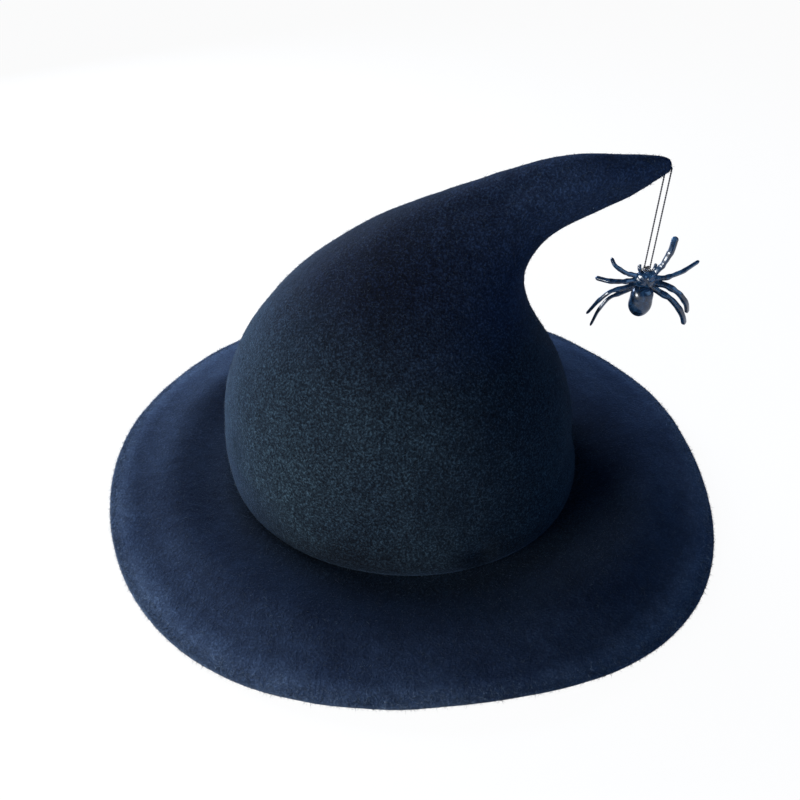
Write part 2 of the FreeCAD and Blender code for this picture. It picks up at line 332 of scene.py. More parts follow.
def felt_material():
    """Napped wool felt: grey-green crown, navy horn and brim, matted fibres, a soft sheen
    and specks of lint. Painted shade darkens the crown's foot and top and the brim beside
    the crown; painted light makes the horn and the brim's rim paler."""
    material, tree, shader = new_material("wool_felt")
    place = object_coordinates(tree)
    clouds = add_noise(tree, place, 20.0, 3.0)
    mottle = add_noise(tree, place, 170.0, 4.0, 0.65)
    grain = add_noise(tree, place, 900.0, 2.0, 0.6, 0.3)
    fibres = add_noise(tree, place, 1300.0, 3.0, 0.7, 1.8)
    split = tree.nodes.new("ShaderNodeSeparateXYZ")
    tree.links.new(place, split.inputs[0])
    patch = times(tree, add_maths(tree, "SUBTRACT", clouds, 0.5), 0.035)
    height = add_maths(tree, "ADD", split.outputs["Z"], patch)
    # Painted shade: the crown is painted darker at its foot, where it meets the brim, and darker
    # again over its top.
    on_crown = add_ramp(tree, times(tree, height, 5.0), (
        (0.03, (0.0045, 0.0085, 0.0140)),
        (0.11, (0.0098, 0.0182, 0.0280)),
        (0.46, (0.0096, 0.0178, 0.0280)),
        (0.64, (0.0032, 0.0060, 0.0155)),
    ))
    # Painted light: the horn is painted paler than the crown's top, and it is smoother than the
    # top.
    over_crown = times(tree, add_maths(tree, "SUBTRACT", split.outputs["Z"], 0.09), 16.0)
    towards_tip = times(tree, add_maths(tree, "ADD", split.outputs["X"], 0.03), 7.0)
    horn = add_ramp(tree, add_maths(tree, "MINIMUM", over_crown, towards_tip), (
        (0.10, 0.0),
        (0.75, 1.0),
    ))
    on_crown = add_mix(tree, horn, on_crown, (0.0125, 0.0235, 0.0540))
    # Painted shade and painted light: the brim is painted darker beside the crown, where the crown
    # shades it, and paler towards its rim.
    flat = tree.nodes.new("ShaderNodeCombineXYZ")
    tree.links.new(split.outputs["X"], flat.inputs["X"])
    rounded = times(tree, split.outputs["Y"], BRIM_ROUNDNESS)
    tree.links.new(rounded, flat.inputs["Y"])
    length = tree.nodes.new("ShaderNodeVectorMath")
    length.operation = "LENGTH"
    tree.links.new(flat.outputs[0], length.inputs[0])
    reach = add_maths(tree, "ADD", length.outputs["Value"], patch)
    on_brim = add_ramp(tree, times(tree, reach, 5.0), (
        (0.54, (0.0062, 0.0108, 0.0210)),
        (0.63, (0.0080, 0.0142, 0.0295)),
        (0.74, (0.0130, 0.0215, 0.0430)),
        (0.84, (0.0165, 0.0260, 0.0500)),
    ))
    # Painted highlight: the outermost band of the brim is painted about twice as bright.
    painted_rim_highlight = add_ramp(tree, times(tree, length.outputs["Value"], 5.0), (
        (0.790, 1.0),
        (0.845, (2.2, 2.1, 1.9)),
    ))
    on_brim = add_mix(tree, 1.0, on_brim, painted_rim_highlight, "MULTIPLY")
    low = add_ramp(tree, times(tree, length.outputs["Value"], 5.0), (
        (0.50, 0.0),
        (0.56, 1.0),
    ))
    low = times(tree, low, add_maths(tree, "LESS_THAN", split.outputs["Z"], 0.03))
    base = add_mix(tree, low, on_crown, on_brim)
    cloudy = add_mix(tree, 0.8, base, add_ramp(tree, clouds, (
        (0.34, (0.72, 0.74, 0.80)),
        (0.66, (1.32, 1.28, 1.20)),
    )), "MULTIPLY")
    mottled = add_mix(tree, 0.9, cloudy, add_ramp(tree, mottle, (
        (0.36, (0.80, 0.80, 0.82)),
        (0.64, (1.22, 1.22, 1.20)),
    )), "MULTIPLY")
    # The brim and the horn are smoother than the crown.
    smoother = add_maths(tree, "MAXIMUM", low, times(tree, horn, HORN_SMOOTHNESS))
    lost = times(tree, smoother, BRIM_SMOOTHNESS)
    coarse = add_maths(tree, "SUBTRACT", 1.0, lost)
    grainy = add_mix(tree, coarse, mottled, add_ramp(tree, grain, (
        (0.34, (0.28, 0.29, 0.32)),
        (0.52, 0.90),
        (0.67, (2.70, 2.65, 2.45)),
    )), "MULTIPLY")
    fuzzy = times(tree, coarse, 0.85)
    fibrous = add_mix(tree, fuzzy, grainy, add_ramp(tree, fibres, (
        (0.38, (0.50, 0.50, 0.52)),
        (0.62, 1.20),
        (0.76, (2.20, 2.10, 2.00)),
    )), "MULTIPLY")
    specks = tree.nodes.new("ShaderNodeTexVoronoi")
    specks.inputs["Scale"].default_value = 110.0
    specks.inputs["Randomness"].default_value = 1.0
    tree.links.new(place, specks.inputs["Vector"])
    near = add_maths(tree, "LESS_THAN", specks.outputs["Distance"], 0.036)
    chosen = tree.nodes.new("ShaderNodeSeparateColor")
    tree.links.new(specks.outputs["Color"], chosen.inputs[0])
    rare = add_maths(tree, "GREATER_THAN", chosen.outputs[0], 0.86)
    lint = times(tree, near, rare)
    speckled = add_mix(tree, lint, fibrous, (0.16, 0.20, 0.25))
    tree.links.new(speckled, shader.inputs["Base Color"])
    lumps = add_noise(tree, place, 300.0, 3.0, 0.6)
    normal = add_bump(tree, lumps, 0.5, 0.8 * MM)
    normal = add_bump(tree, grain, 0.9, 0.5 * MM, normal)
    normal = add_bump(tree, fibres, 0.7, 0.2 * MM, normal)
    tree.links.new(normal, shader.inputs["Normal"])
    set_sockets(shader, {"Roughness": 0.95, "Specular IOR Level": 0.10})
    tree.links.new(add_ramp(tree, times(tree, height, 5.0), (
        (0.50, 0.14),
        (0.68, 0.05),
    )), shader.inputs["Sheen Weight"])
    set_sockets(shader, {"Sheen Roughness": 0.36, "Sheen Tint": (0.36, 0.60, 1.0, 1.0)})
    return material


def fibre_material(name, pale):
    """Loose wool fibres that stand off the felt, some of them paler than it."""
    material, tree, shader = new_material(name)
    shade = add_noise(tree, object_coordinates(tree), 420.0, 2.0)
    tree.links.new(add_ramp(tree, shade, (
        (0.34, (0.006, 0.011, 0.022)),
        (0.55, (0.35 * pale[0], 0.35 * pale[1], 0.35 * pale[2])),
        (0.74, pale),
    )), shader.inputs["Base Color"])
    set_sockets(shader, {
        "Roughness": 0.75, "Specular IOR Level": 0.25, "Sheen Weight": 0.1,
        "Sheen Tint": (0.5, 0.7, 1.0, 1.0),
    })
    return material


def ribbon_material():
    """Black grosgrain: a fine cross rib with a dull shine."""
    material, tree, shader = new_material("grosgrain")
    place = object_coordinates(tree)
    yarns = add_noise(tree, place, 1500.0, 2.0)
    patches = add_noise(tree, place, 60.0, 3.0)
    base = add_ramp(tree, yarns, (
        (0.30, (0.006, 0.006, 0.008)),
        (0.70, (0.022, 0.022, 0.027)),
    ))
    tree.links.new(add_mix(tree, 0.5, base, add_ramp(tree, patches, (
        (0.30, 0.7),
        (0.70, 1.5),
    )), "MULTIPLY"), shader.inputs["Base Color"])
    tree.links.new(add_bump(tree, yarns, 0.5, 0.1 * MM), shader.inputs["Normal"])
    set_sockets(shader, {"Roughness": 0.55, "Sheen Weight": 0.2})
    return material


def thread_material(name, dark, pale):
    """Twisted thread with a little colour change from ply to ply."""
    material, tree, shader = new_material(name)
    place = object_coordinates(tree)
    hairs = add_noise(tree, place, 2600.0, 3.0, 0.6, 1.0)
    tree.links.new(add_ramp(tree, hairs, ((0.35, dark), (0.68, pale))), shader.inputs["Base Color"])
    tree.links.new(add_bump(tree, hairs, 0.6, 0.08 * MM), shader.inputs["Normal"])
    set_sockets(shader, {"Roughness": 0.7, "Sheen Weight": 0.2})
    return material


def plastic_material():
    """Glossy blue-black moulded plastic with flow marks and faint scuffs."""
    material, tree, shader = new_material("spider_plastic_gloss")
    place = object_coordinates(tree)
    flow = add_noise(tree, place, 230.0, 4.0, 0.6, 1.2)
    scuffs = add_noise(tree, place, 900.0, 4.0, 0.7, 2.0)
    tree.links.new(add_ramp(tree, flow, (
        (0.36, (0.0030, 0.0085, 0.0190)),
        (0.52, (0.0095, 0.0320, 0.0760)),
        (0.68, (0.0300, 0.0820, 0.1600)),
    )), shader.inputs["Base Color"])
    tree.links.new(add_ramp(tree, scuffs, (
        (0.40, 0.20),
        (0.75, 0.42),
    )), shader.inputs["Roughness"])
    tree.links.new(add_bump(tree, scuffs, 0.25, 0.05 * MM), shader.inputs["Normal"])
    set_sockets(shader, {"Specular IOR Level": 0.6, "Coat Weight": 0.6, "Coat Roughness": 0.10})
    return material


def floor_material():
    """White sweep that stays almost white in the camera, with only a trace of shadow."""
    material, tree, shader = new_material("white_floor")
    grain = add_noise(tree, object_coordinates(tree), 8.0, 2.0)
    tree.links.new(add_ramp(tree, grain, (
        (0.30, FLOOR_BOUNCE),
        (0.70, FLOOR_BOUNCE + 0.03),
    )), shader.inputs["Base Color"])
    set_sockets(shader, {"Roughness": 0.9, "Specular IOR Level": 0.0})
    glow = tree.nodes.new("ShaderNodeEmission")
    glow.inputs["Strength"].default_value = FLOOR_GLOW
    path = tree.nodes.new("ShaderNodeLightPath")
    shine = times(tree, path.outputs["Is Glossy Ray"], FLOOR_SHINE_SHARE)
    seen = times(tree, path.outputs["Is Camera Ray"], FLOOR_GLOW_SHARE)
    share = add_maths(tree, "ADD", shine, seen)
    mix = tree.nodes.new("ShaderNodeMixShader")
    tree.links.new(share, mix.inputs[0])
    tree.links.new(shader.outputs[0], mix.inputs[1])
    tree.links.new(glow.outputs[0], mix.inputs[2])
    output = tree.nodes["Material Output"]
    tree.links.new(mix.outputs[0], output.inputs["Surface"])
    return material


# ---- camera and light

# The camera stands in front of the hat and above it, turned a little anticlockwise.
CAMERA_PLACE = (-0.0086, -0.3980, 0.3252)
CAMERA_DOWN = math.radians(35.37)
CAMERA_ROLL = math.radians(2.20)
CAMERA_LENS = 38.25
FLOOR_SIZE = 6.0
FLOOR_BOUNCE = 0.55
FLOOR_GLOW = 1.09
FLOOR_GLOW_SHARE = 0.88
FLOOR_SHINE_SHARE = 0.5
WORLD_FILL = (0.02, 0.035, 0.07)
LIGHT_TARGET = (-0.02, 0.0, 0.06)
# Name, place, width, height, power in watts and colour of each soft light.
LIGHTS = (
    ("window", (-0.55, 0.52, 0.42), 0.70, 0.50, 13.5, (0.60, 0.74, 1.0)),
    ("low_reflector", (-0.62, -0.48, 0.14), 0.50, 0.25, 8.0, (0.96, 1.0, 1.02)),
    ("right_reflector", (0.75, -0.35, 0.40), 0.60, 0.50, 2.0, (0.32, 0.62, 1.1)),
)


def make_camera():
    data = bpy.data.cameras.new("camera")
    data.sensor_width = 36.0
    data.lens = CAMERA_LENS
    data.clip_start = 0.01
    camera = bpy.data.objects.new("camera", data)
    bpy.context.scene.collection.objects.link(camera)
    tilt = Matrix.Rotation(math.pi / 2 - CAMERA_DOWN, 4, "X")
    roll = Matrix.Rotation(CAMERA_ROLL, 4, "Z")
    camera.matrix_world = Matrix.Translation(CAMERA_PLACE) @ tilt @ roll
    bpy.context.scene.camera = camera


def make_light(name, place, width, height, power, colour):
    data = bpy.data.lights.new(name, "AREA")
    data.shape = "RECTANGLE"
    data.size = width
    data.size_y = height
    data.energy = power
    data.color = colour
    light = bpy.data.objects.new(name, data)
    bpy.context.scene.collection.objects.link(light)
    light.location = place
    aim = Vector(LIGHT_TARGET) - Vector(place)
    light.rotation_mode = "QUATERNION"
    light.rotation_quaternion = aim.to_track_quat("-Z", "Y")


def make_studio():
    """White floor, dim surroundings, a soft window behind at the left and two reflectors."""
    half = FLOOR_SIZE / 2
    corners = [(-half, -half, 0), (half, -half, 0), (half, half, 0), (-half, half, 0)]
    floor = add_object("floor", mesh_from("floor", corners, [(0, 1, 2, 3)]), floor_material())
    floor.location.z = -0.2 * MM
    world = bpy.data.worlds.new("surroundings")
    world.use_nodes = True
    tree = world.node_tree
    path = tree.nodes.new("ShaderNodeLightPath")
    seen = add_mix(tree, path.outputs["Is Camera Ray"], WORLD_FILL, (1.0, 1.0, 1.0))
    tree.links.new(seen, tree.nodes["Background"].inputs["Color"])
    bpy.context.scene.world = world
    for light in LIGHTS:
        make_light(*light)
    view_settings = bpy.context.scene.view_settings
    view_settings.view_transform = "Standard"
    view_settings.look = "None"


# ---- felt body

def crown_outward(points):
    """Unit vectors that point out of the crown, away from its spine."""
    spine = np.array(SPINE) * MM
    flat = points[:, [0, 2]]
    _, _, away = polyline_distance(flat, spine)
    outward = np.stack([away[:, 0], points[:, 1], away[:, 1]], axis=1)
    return outward / np.maximum(np.linalg.norm(outward, axis=1), 1e-6)[:, None]


def outer_side(points, bottom):
    """1 on the crown's outer face and 0 on its inner face, for the lowest part of the crown."""
    rim = points[points[:, 2] < bottom + 1.0 * MM]
    middle_x = (rim[:, 0].max() + rim[:, 0].min()) / 2
    along = (rim[:, 0].max() - rim[:, 0].min()) / 2
    across = (rim[:, 1].max() - rim[:, 1].min()) / 2
    reach = np.hypot((points[:, 0] - middle_x), points[:, 1] * along / across)
    middle_of_wall = along - HALF_WALL + WALL_LEAN * (points[:, 2] - bottom)
    return smoothstep(reach - middle_of_wall, -1.0 * MM, 1.0 * MM)


def shape_crown(points):
    """Moves the crown's even mesh into soft, hand-formed felt."""
    outward = crown_outward(points)
    fold, along, _ = polyline_distance(points[:, [0, 2]], np.array(FOLD) * MM)
    ratio = (fold / FOLD_WIDTH) ** 2
    fade = smoothstep(along, 0.02, 0.20) * (1.0 - smoothstep(along, 0.62, 1.0))
    sideways = smoothstep(np.abs(outward[:, 1]), 0.25, 0.75)
    lift = FOLD_HEIGHT * (1.0 - ratio) * np.exp(-0.5 * ratio) * fade * sideways

    height = points[:, 2]
    bottom = height.min()
    outer = outer_side(points, bottom)
    above_crease = (height - bottom) / CREASE_SIZE
    lift -= CREASE_DEPTH * np.exp(-above_crease ** 2) * outer
    front = smoothstep(-outward[:, 1], -0.1, 0.7)
    flare = np.exp(-((height - bottom) / BASE_FLARE_SIZE) ** 2)
    lift += BASE_FLARE * flare * front * outer
    pinch = np.linalg.norm(points - np.array(PINCH), axis=1) / PINCH_SIZE
    lift -= PINCH_DEPTH * np.exp(-pinch ** 2) * smoothstep(height, bottom, bottom + 4.0 * MM)

    body = smoothstep(height, 4.0 * MM, 30.0 * MM)
    thick = 1.0 - 0.7 * smoothstep(points[:, 0], 60.0 * MM, 115.0 * MM)
    (dent, dent_size), (bump, bump_size), (lump, lump_size) = CROWN_DENTS
    lift += dent * body * thick * noise_field(points, dent_size, 1)
    lift += bump * body * thick * noise_field(points, bump_size, 2)
    lift += lump * body * noise_field(points, lump_size, 3)
    shaped = points + outward * lift[:, None]
    shaped[:, 2] -= FOOT_SINK * (1.0 - smoothstep(height, bottom, bottom + FOOT_HEIGHT))
    return shaped


def make_crown(felt):
    mesh = remeshed("felt_crown", CROWN_VOXEL, CROWN_SMOOTHING)
    set_points(mesh, shape_crown(get_points(mesh)))
    obj = add_object("crown_felt", mesh, felt)
    return dress(obj, "hat", "felt", "felt_crown")


def ray_height(tree, x, y, upwards):
    """Height of the first surface met by a vertical ray, or None."""
    if upwards:
        hit = tree.ray_cast(Vector((x, y, -0.05)), Vector((0, 0, 1)))
    else:
        hit = tree.ray_cast(Vector((x, y, 0.05)), Vector((0, 0, -1)))
    return None if hit[0] is None else hit[0].z


def find_edge(tree, centre, angle, inside, outside):
    """Radius at which vertical rays stop meeting the brim, between two radii."""
    for _ in range(13):
        middle = (inside + outside) / 2
        x = centre + middle * math.cos(angle)
        y = middle * math.sin(angle)
        if ray_height(tree, x, y, False) is None:
            outside = middle
        else:
            inside = middle
    return (inside + outside) / 2


def measure_brim():
    """Plan of the CAD brim on a polar grid, from its opening to its edge, and the height of
    its underside there."""
    tree = cad_tree("felt_brim")
    _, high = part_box("felt_brim")
    band_low, band_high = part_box("sweatband")
    opening_middle = (band_low.x + band_high.x) / 2
    middle_ring = 0.7 * high.y
    angles = np.arange(BRIM_COLUMNS) / BRIM_COLUMNS * TURN
    outer = np.array([find_edge(tree, 0.0, a, middle_ring, 1.2 * high.y) for a in angles])
    inner = np.array([
        find_edge(tree, opening_middle, a, middle_ring, 0.3 * high.y) for a in angles])
    inner_points = np.stack([
        opening_middle + inner * np.cos(angles), inner * np.sin(angles)], axis=1)
    outer_points = np.stack([outer * np.cos(angles), outer * np.sin(angles)], axis=1)
    shares = np.linspace(0.0, 1.0, BRIM_ROWS)
    plan = inner_points[None] + shares[:, None, None] * (outer_points - inner_points)[None]
    heights = np.zeros((BRIM_ROWS, BRIM_COLUMNS))
    # The first and last ring are measured just inside the felt's edges.
    pull = np.ones(BRIM_ROWS)
    pull[[0, -1]] = (1.0 + 2e-4, 1.0 - 2e-4)
    for row in range(BRIM_ROWS):
        for column in range(BRIM_COLUMNS):
            x, y = plan[row, column] * pull[row]
            found = ray_height(tree, x, y, True)
            heights[row, column] = heights[row - 1, column] if found is None else found
    return plan, blur_rings(heights, 8)


def make_brim(felt):
    """Brim: underside and top follow the CAD brim, its edge is rounded, and both are
    waved together as one soft sheet."""
    plan, underside = measure_brim()
    shares = np.linspace(0.0, 1.0, BRIM_ROWS)[:, None]
    smooth = underside.copy()
    for _ in range(12):
        smooth[1:-1] = (smooth[:-2] + 2 * smooth[1:-1] + smooth[2:]) / 4
    flat = np.concatenate([plan, np.zeros(plan.shape[:2] + (1,))], axis=2).reshape(-1, 3)
    waves = noise_field(flat, BRIM_WAVE_SIZE, 5).reshape(plan.shape[:2])
    ripples = noise_field(flat, BRIM_RIPPLE_SIZE, 6).reshape(plan.shape[:2])
    loose = smoothstep(shares, 0.12, 0.8)
    smooth = smooth + loose * (BRIM_WAVE * waves + BRIM_RIPPLE * ripples)
    smooth = np.maximum(smooth, LOWEST_UNDERSIDE)
    smooth = smooth + HUMP_RISE * np.sin(np.pi * smoothstep(shares, 0.08, 0.96)) ** 2
    bottom = np.concatenate([plan, smooth[:, :, None]], axis=2)
    dip = VALLEY_DEPTH * np.exp(-((shares * 80.0 - 4.0) / 4.0) ** 2)
    lumps = BRIM_LUMP * noise_field(flat, BRIM_LUMP_SIZE, 7).reshape(plan.shape[:2])
    radial = np.linalg.norm(plan - plan[-1][None], axis=2)
    drop = RIM_DROP * (1.0 - smoothstep(radial, 0.0, RIM_WIDTH))
    top_height = smooth + BRIM_THICKNESS - dip - drop + lumps
    top = np.concatenate([plan, top_height[:, :, None]], axis=2)

    # The edge is half a circle between underside and top, drawn in from the outline.
    outward = plan[-1] - plan[-2]
    outward /= np.linalg.norm(outward, axis=1)[:, None]
    radius = (top[-1, :, 2] - bottom[-1, :, 2]) / 2
    for surface in (bottom, top):
        surface[:, :, :2] -= (shares ** 4)[:, :, None] * (outward * radius[:, None])[None]
    rings = [bottom]
    for step in range(1, BRIM_EDGE_ROWS):
        turn = math.pi * step / BRIM_EDGE_ROWS
        ring = np.empty((1, BRIM_COLUMNS, 3))
        ring[0, :, :2] = bottom[-1, :, :2] + outward * (radius * math.sin(turn))[:, None]
        ring[0, :, 2] = bottom[-1, :, 2] + radius * (1.0 - math.cos(turn))
        rings.append(ring)
    rings.append(top[::-1])
    surface = np.concatenate(rings)
    faces = grid_faces(len(surface), BRIM_COLUMNS, closed_rows=True)
    mesh = mesh_from("brim_felt", surface.reshape(-1, 3), faces)
    obj = add_object("brim_felt", mesh, felt)
    return dress(obj, "hat", "felt", "felt_brim")


def fibre_mesh(name, roots, directions, lengths, widths, seed):
    """One small closed three-sided spike for each fibre, turned at random."""
    generator = np.random.default_rng(seed)
    count = len(roots)
    helper = generator.normal(size=(count, 3))
    side = np.cross(directions, helper)
    side /= np.linalg.norm(side, axis=1)[:, None]
    other = np.cross(directions, side)
    corners = []
    for turn in range(3):
        angle = TURN * turn / 3
        offset = side * math.cos(angle) + other * math.sin(angle)
        corners.append(roots + offset * widths[:, None])
    tips = roots + directions * lengths[:, None]
    points = np.stack([*corners, tips], axis=1).reshape(-1, 3)
    first = np.arange(count)[:, None] * 4
    pattern = np.array([[0, 2, 1], [0, 1, 3], [1, 2, 3], [2, 0, 3]])
    faces = (first[:, :, None] + pattern[None]).reshape(-1, 3)
    mesh = bpy.data.meshes.new(name)
    mesh.vertices.add(len(points))
    mesh.vertices.foreach_set("co", points.ravel())
    mesh.loops.add(faces.size)
    mesh.loops.foreach_set("vertex_index", faces.ravel().astype(np.int32))
    mesh.polygons.add(len(faces))
    mesh.polygons.foreach_set("loop_start", np.arange(0, faces.size, 3, dtype=np.int32))
    mesh.update(calc_edges=True)
    return mesh


def scatter_fibres(name, obj, count, material, seed, outside):
    """Loose fibres over a felt surface. outside(centres, normals) says which faces grow them."""
    mesh = obj.data
    number = len(mesh.polygons)
    centres = np.empty(number * 3)
    normals = np.empty(number * 3)
    areas = np.empty(number)
    mesh.polygons.foreach_get("center", centres)
    mesh.polygons.foreach_get("normal", normals)
    mesh.polygons.foreach_get("area", areas)
    centres = centres.reshape(-1, 3)
    normals = normals.reshape(-1, 3)
    weights = areas * outside(centres, normals)
    generator = np.random.default_rng(seed)
    chosen = generator.choice(number, count, p=weights / weights.sum())
    spread = np.sqrt(areas[chosen])[:, None] * generator.uniform(-0.5, 0.5, (count, 3))
    normal = normals[chosen]
    spread -= normal * np.sum(spread * normal, axis=1)[:, None]
    roots = centres[chosen] + spread - normal * 0.15 * MM
    lean = generator.normal(size=(count, 3))
    lean -= normal * np.sum(lean * normal, axis=1)[:, None]
    lean /= np.linalg.norm(lean, axis=1)[:, None]
    rise = generator.uniform(0.12, 0.75, count)[:, None]
    directions = lean + normal * rise
    directions /= np.linalg.norm(directions, axis=1)[:, None]
    lengths = generator.gamma(3.0, 0.42 * MM, count).clip(0.4 * MM, 3.0 * MM)
    widths = generator.uniform(0.05 * MM, 0.11 * MM, count)
    made = fibre_mesh(name, roots, directions, lengths, widths, seed + 1)
    return dress(add_object(name, made, material), "hat", "felt")


def make_nap(crown, brim):
    """Loose fibres all over the felt, with a paler fringe along the brim's rim whose paler colour
    is a painted highlight.
    """
    fibres = fibre_material("wool_nap", (0.050, 0.072, 0.092))
    # Painted highlight: the rim's fibres are given a paler colour than the rest of the nap.
    rim_highlight_fibres = fibre_material("wool_nap_rim_highlight", (0.160, 0.215, 0.300))
    points = get_points(brim.data)
    angles = np.arctan2(points[:, 1], points[:, 0])
    reach = np.hypot(points[:, 0], points[:, 1])
    steps = np.linspace(-math.pi, math.pi, 181)
    edge = np.array([reach[np.abs(angles - a) < 0.04].max() for a in steps])

    def from_edge(centres):
        turn = np.arctan2(centres[:, 1], centres[:, 0])
        return np.interp(turn, steps, edge) - np.hypot(centres[:, 0], centres[:, 1])

    def on_crown(centres, normals):
        facing = np.sum(crown_outward(centres) * normals, axis=1)
        return (facing > 0.2) * (1.0 + 3.0 * smoothstep(centres[:, 0], 95.0 * MM, 117.0 * MM))

    def on_brim(centres, normals):
        return 1.0 * (normals[:, 2] > -0.6)

    def on_rim(centres, normals):
        return (normals[:, 2] > -0.4) * (1.0 - smoothstep(from_edge(centres), 0.0, RIM_WIDTH))

    scatter_fibres("crown_nap", crown, FIBRES_ON_CROWN, fibres, 11, on_crown)
    scatter_fibres("brim_nap", brim, FIBRES_ON_BRIM, fibres, 21, on_brim)
    scatter_fibres("rim_nap", brim, FIBRES_ON_RIM, rim_highlight_fibres, 41, on_rim)


# ---- sweatband

BAND_COLUMNS = 960
BAND_ROWS = 12
BAND_THICKNESS = 0.9 * MM
RIB_HEIGHT = 0.07 * MM
SELVEDGE_ROLL = 0.15 * MM
LAP_GAP = 0.1 * MM
LAP_THICKNESS = 0.9 * BAND_THICKNESS
STITCH_THREAD_RADIUS = 0.30 * MM
STITCH_TILT = 0.35 * MM


def band_walls():
    """Middle of the CAD sweatband, and the angles, inner radii and heights of a grid on it."""
    tree = cad_tree("sweatband")
    low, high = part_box("sweatband")
    middle = (low.x + high.x) / 2
    angles = np.arange(BAND_COLUMNS) / BAND_COLUMNS * TURN
    shares = np.linspace(0.0, 1.0, BAND_ROWS)
    radii = np.zeros((BAND_ROWS, BAND_COLUMNS))
    heights = np.zeros((BAND_ROWS, BAND_COLUMNS))
    bottom = low.z + 0.3 * MM
    test_height = low.z + 0.6 * (high.z - low.z)
    for column, angle in enumerate(angles):
        heading = Vector((math.cos(angle), math.sin(angle), 0.0))
        hit = tree.ray_cast(Vector((middle, 0.0, test_height)), heading)
        over = Vector((middle, 0.0, 0.1)) + heading * (hit[3] + BAND_THICKNESS / 2)
        top = tree.ray_cast(over, Vector((0, 0, -1)))[0].z - 0.3 * MM
        for row, share in enumerate(shares):
            height = bottom + share * (top - bottom)
            hit = tree.ray_cast(Vector((middle, 0.0, height)), heading)
            radii[row, column] = hit[3]
            heights[row, column] = height
    return middle, angles, radii, heights


def band_mesh(name, middle, angles, radii, heights, thickness, closed):
    """Thin curved band between an inner wall and the wall one thickness behind it."""
    rows, columns = radii.shape

    def ring(radius, height):
        return np.stack([
            middle + radius * np.cos(angles), radius * np.sin(angles), height], axis=1)

    inner = [ring(radii[row], heights[row]) for row in range(rows)]
    outer = [ring(radii[row] + thickness, heights[row]) for row in reversed(range(rows))]
    points = np.concatenate(inner + outer)
    if closed:
        faces = grid_faces(2 * rows, columns, closed_rows=True)
    else:
        faces = []
        for row in range(2 * rows):
            here = row * columns
            after = ((row + 1) % (2 * rows)) * columns
            for column in range(columns - 1):
                near, far = here + column, after + column
                faces.append((near, near + 1, far + 1, far))
        loop = [row * columns for row in range(2 * rows)]
        faces.append(tuple(loop))
        faces.append(tuple(index + columns - 1 for index in reversed(loop)))
    faces = [tuple(reversed(face)) for face in faces]
    return mesh_from(name, points, faces)


def make_sweatband():
    """Ribbed ribbon that follows the CAD band, its lap at the back and its stitches."""
    ribbon = ribbon_material()
    middle, angles, plain, heights = band_walls()
    ribs = RIB_HEIGHT * np.cos(np.arange(BAND_COLUMNS) * math.pi)
    selvedge = np.zeros(BAND_ROWS)
    selvedge[[0, -1]] = SELVEDGE_ROLL
    ribbed = plain + ribs[None] + selvedge[:, None]
    mesh = band_mesh("ribbon_band", middle, angles, ribbed, heights, BAND_THICKNESS, True)
    band = add_object("ribbon_band", mesh, ribbon)
    dress(band, "hat", "ribbon", "sweatband")

    _, lap_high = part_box("sweatband_overlap")
    half_lap = lap_high.y / float(plain.mean())
    near_back = np.abs((angles + math.pi) % TURN - math.pi) < half_lap
    order = np.argsort((angles[near_back] + math.pi) % TURN)
    lap_angles = angles[near_back][order]
    lap_radii = plain[:, near_back][:, order] - BAND_THICKNESS - LAP_GAP
    lap_heights = heights[:, near_back][:, order]
    lap_mesh = band_mesh("ribbon_lap", middle, lap_angles, lap_radii, lap_heights,
                         LAP_THICKNESS, False)
    lap = add_object("ribbon_lap", lap_mesh, ribbon)
    dress(lap, "hat", "ribbon", "sweatband_overlap")

    make_stitches(middle)


def separate_stitches():
    """Corner points of each separate stitch of the CAD row."""
    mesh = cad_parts["sweatband_stitches"].data
    points = get_points(mesh)
    places = [tuple(place) for place in np.round(points / (0.01 * MM)).astype(int)]
    leader = {place: place for place in places}

    def find(place):
        while leader[place] != place:
            place = leader[place]
        return place

    for polygon in mesh.polygons:
        first = find(places[polygon.vertices[0]])
        for index in polygon.vertices[1:]:
            leader[find(places[index])] = first
    groups = {}
    for place, point in zip(places, points):
        groups.setdefault(find(place), []).append(point)
    return [np.array(group) for group in groups.values()]


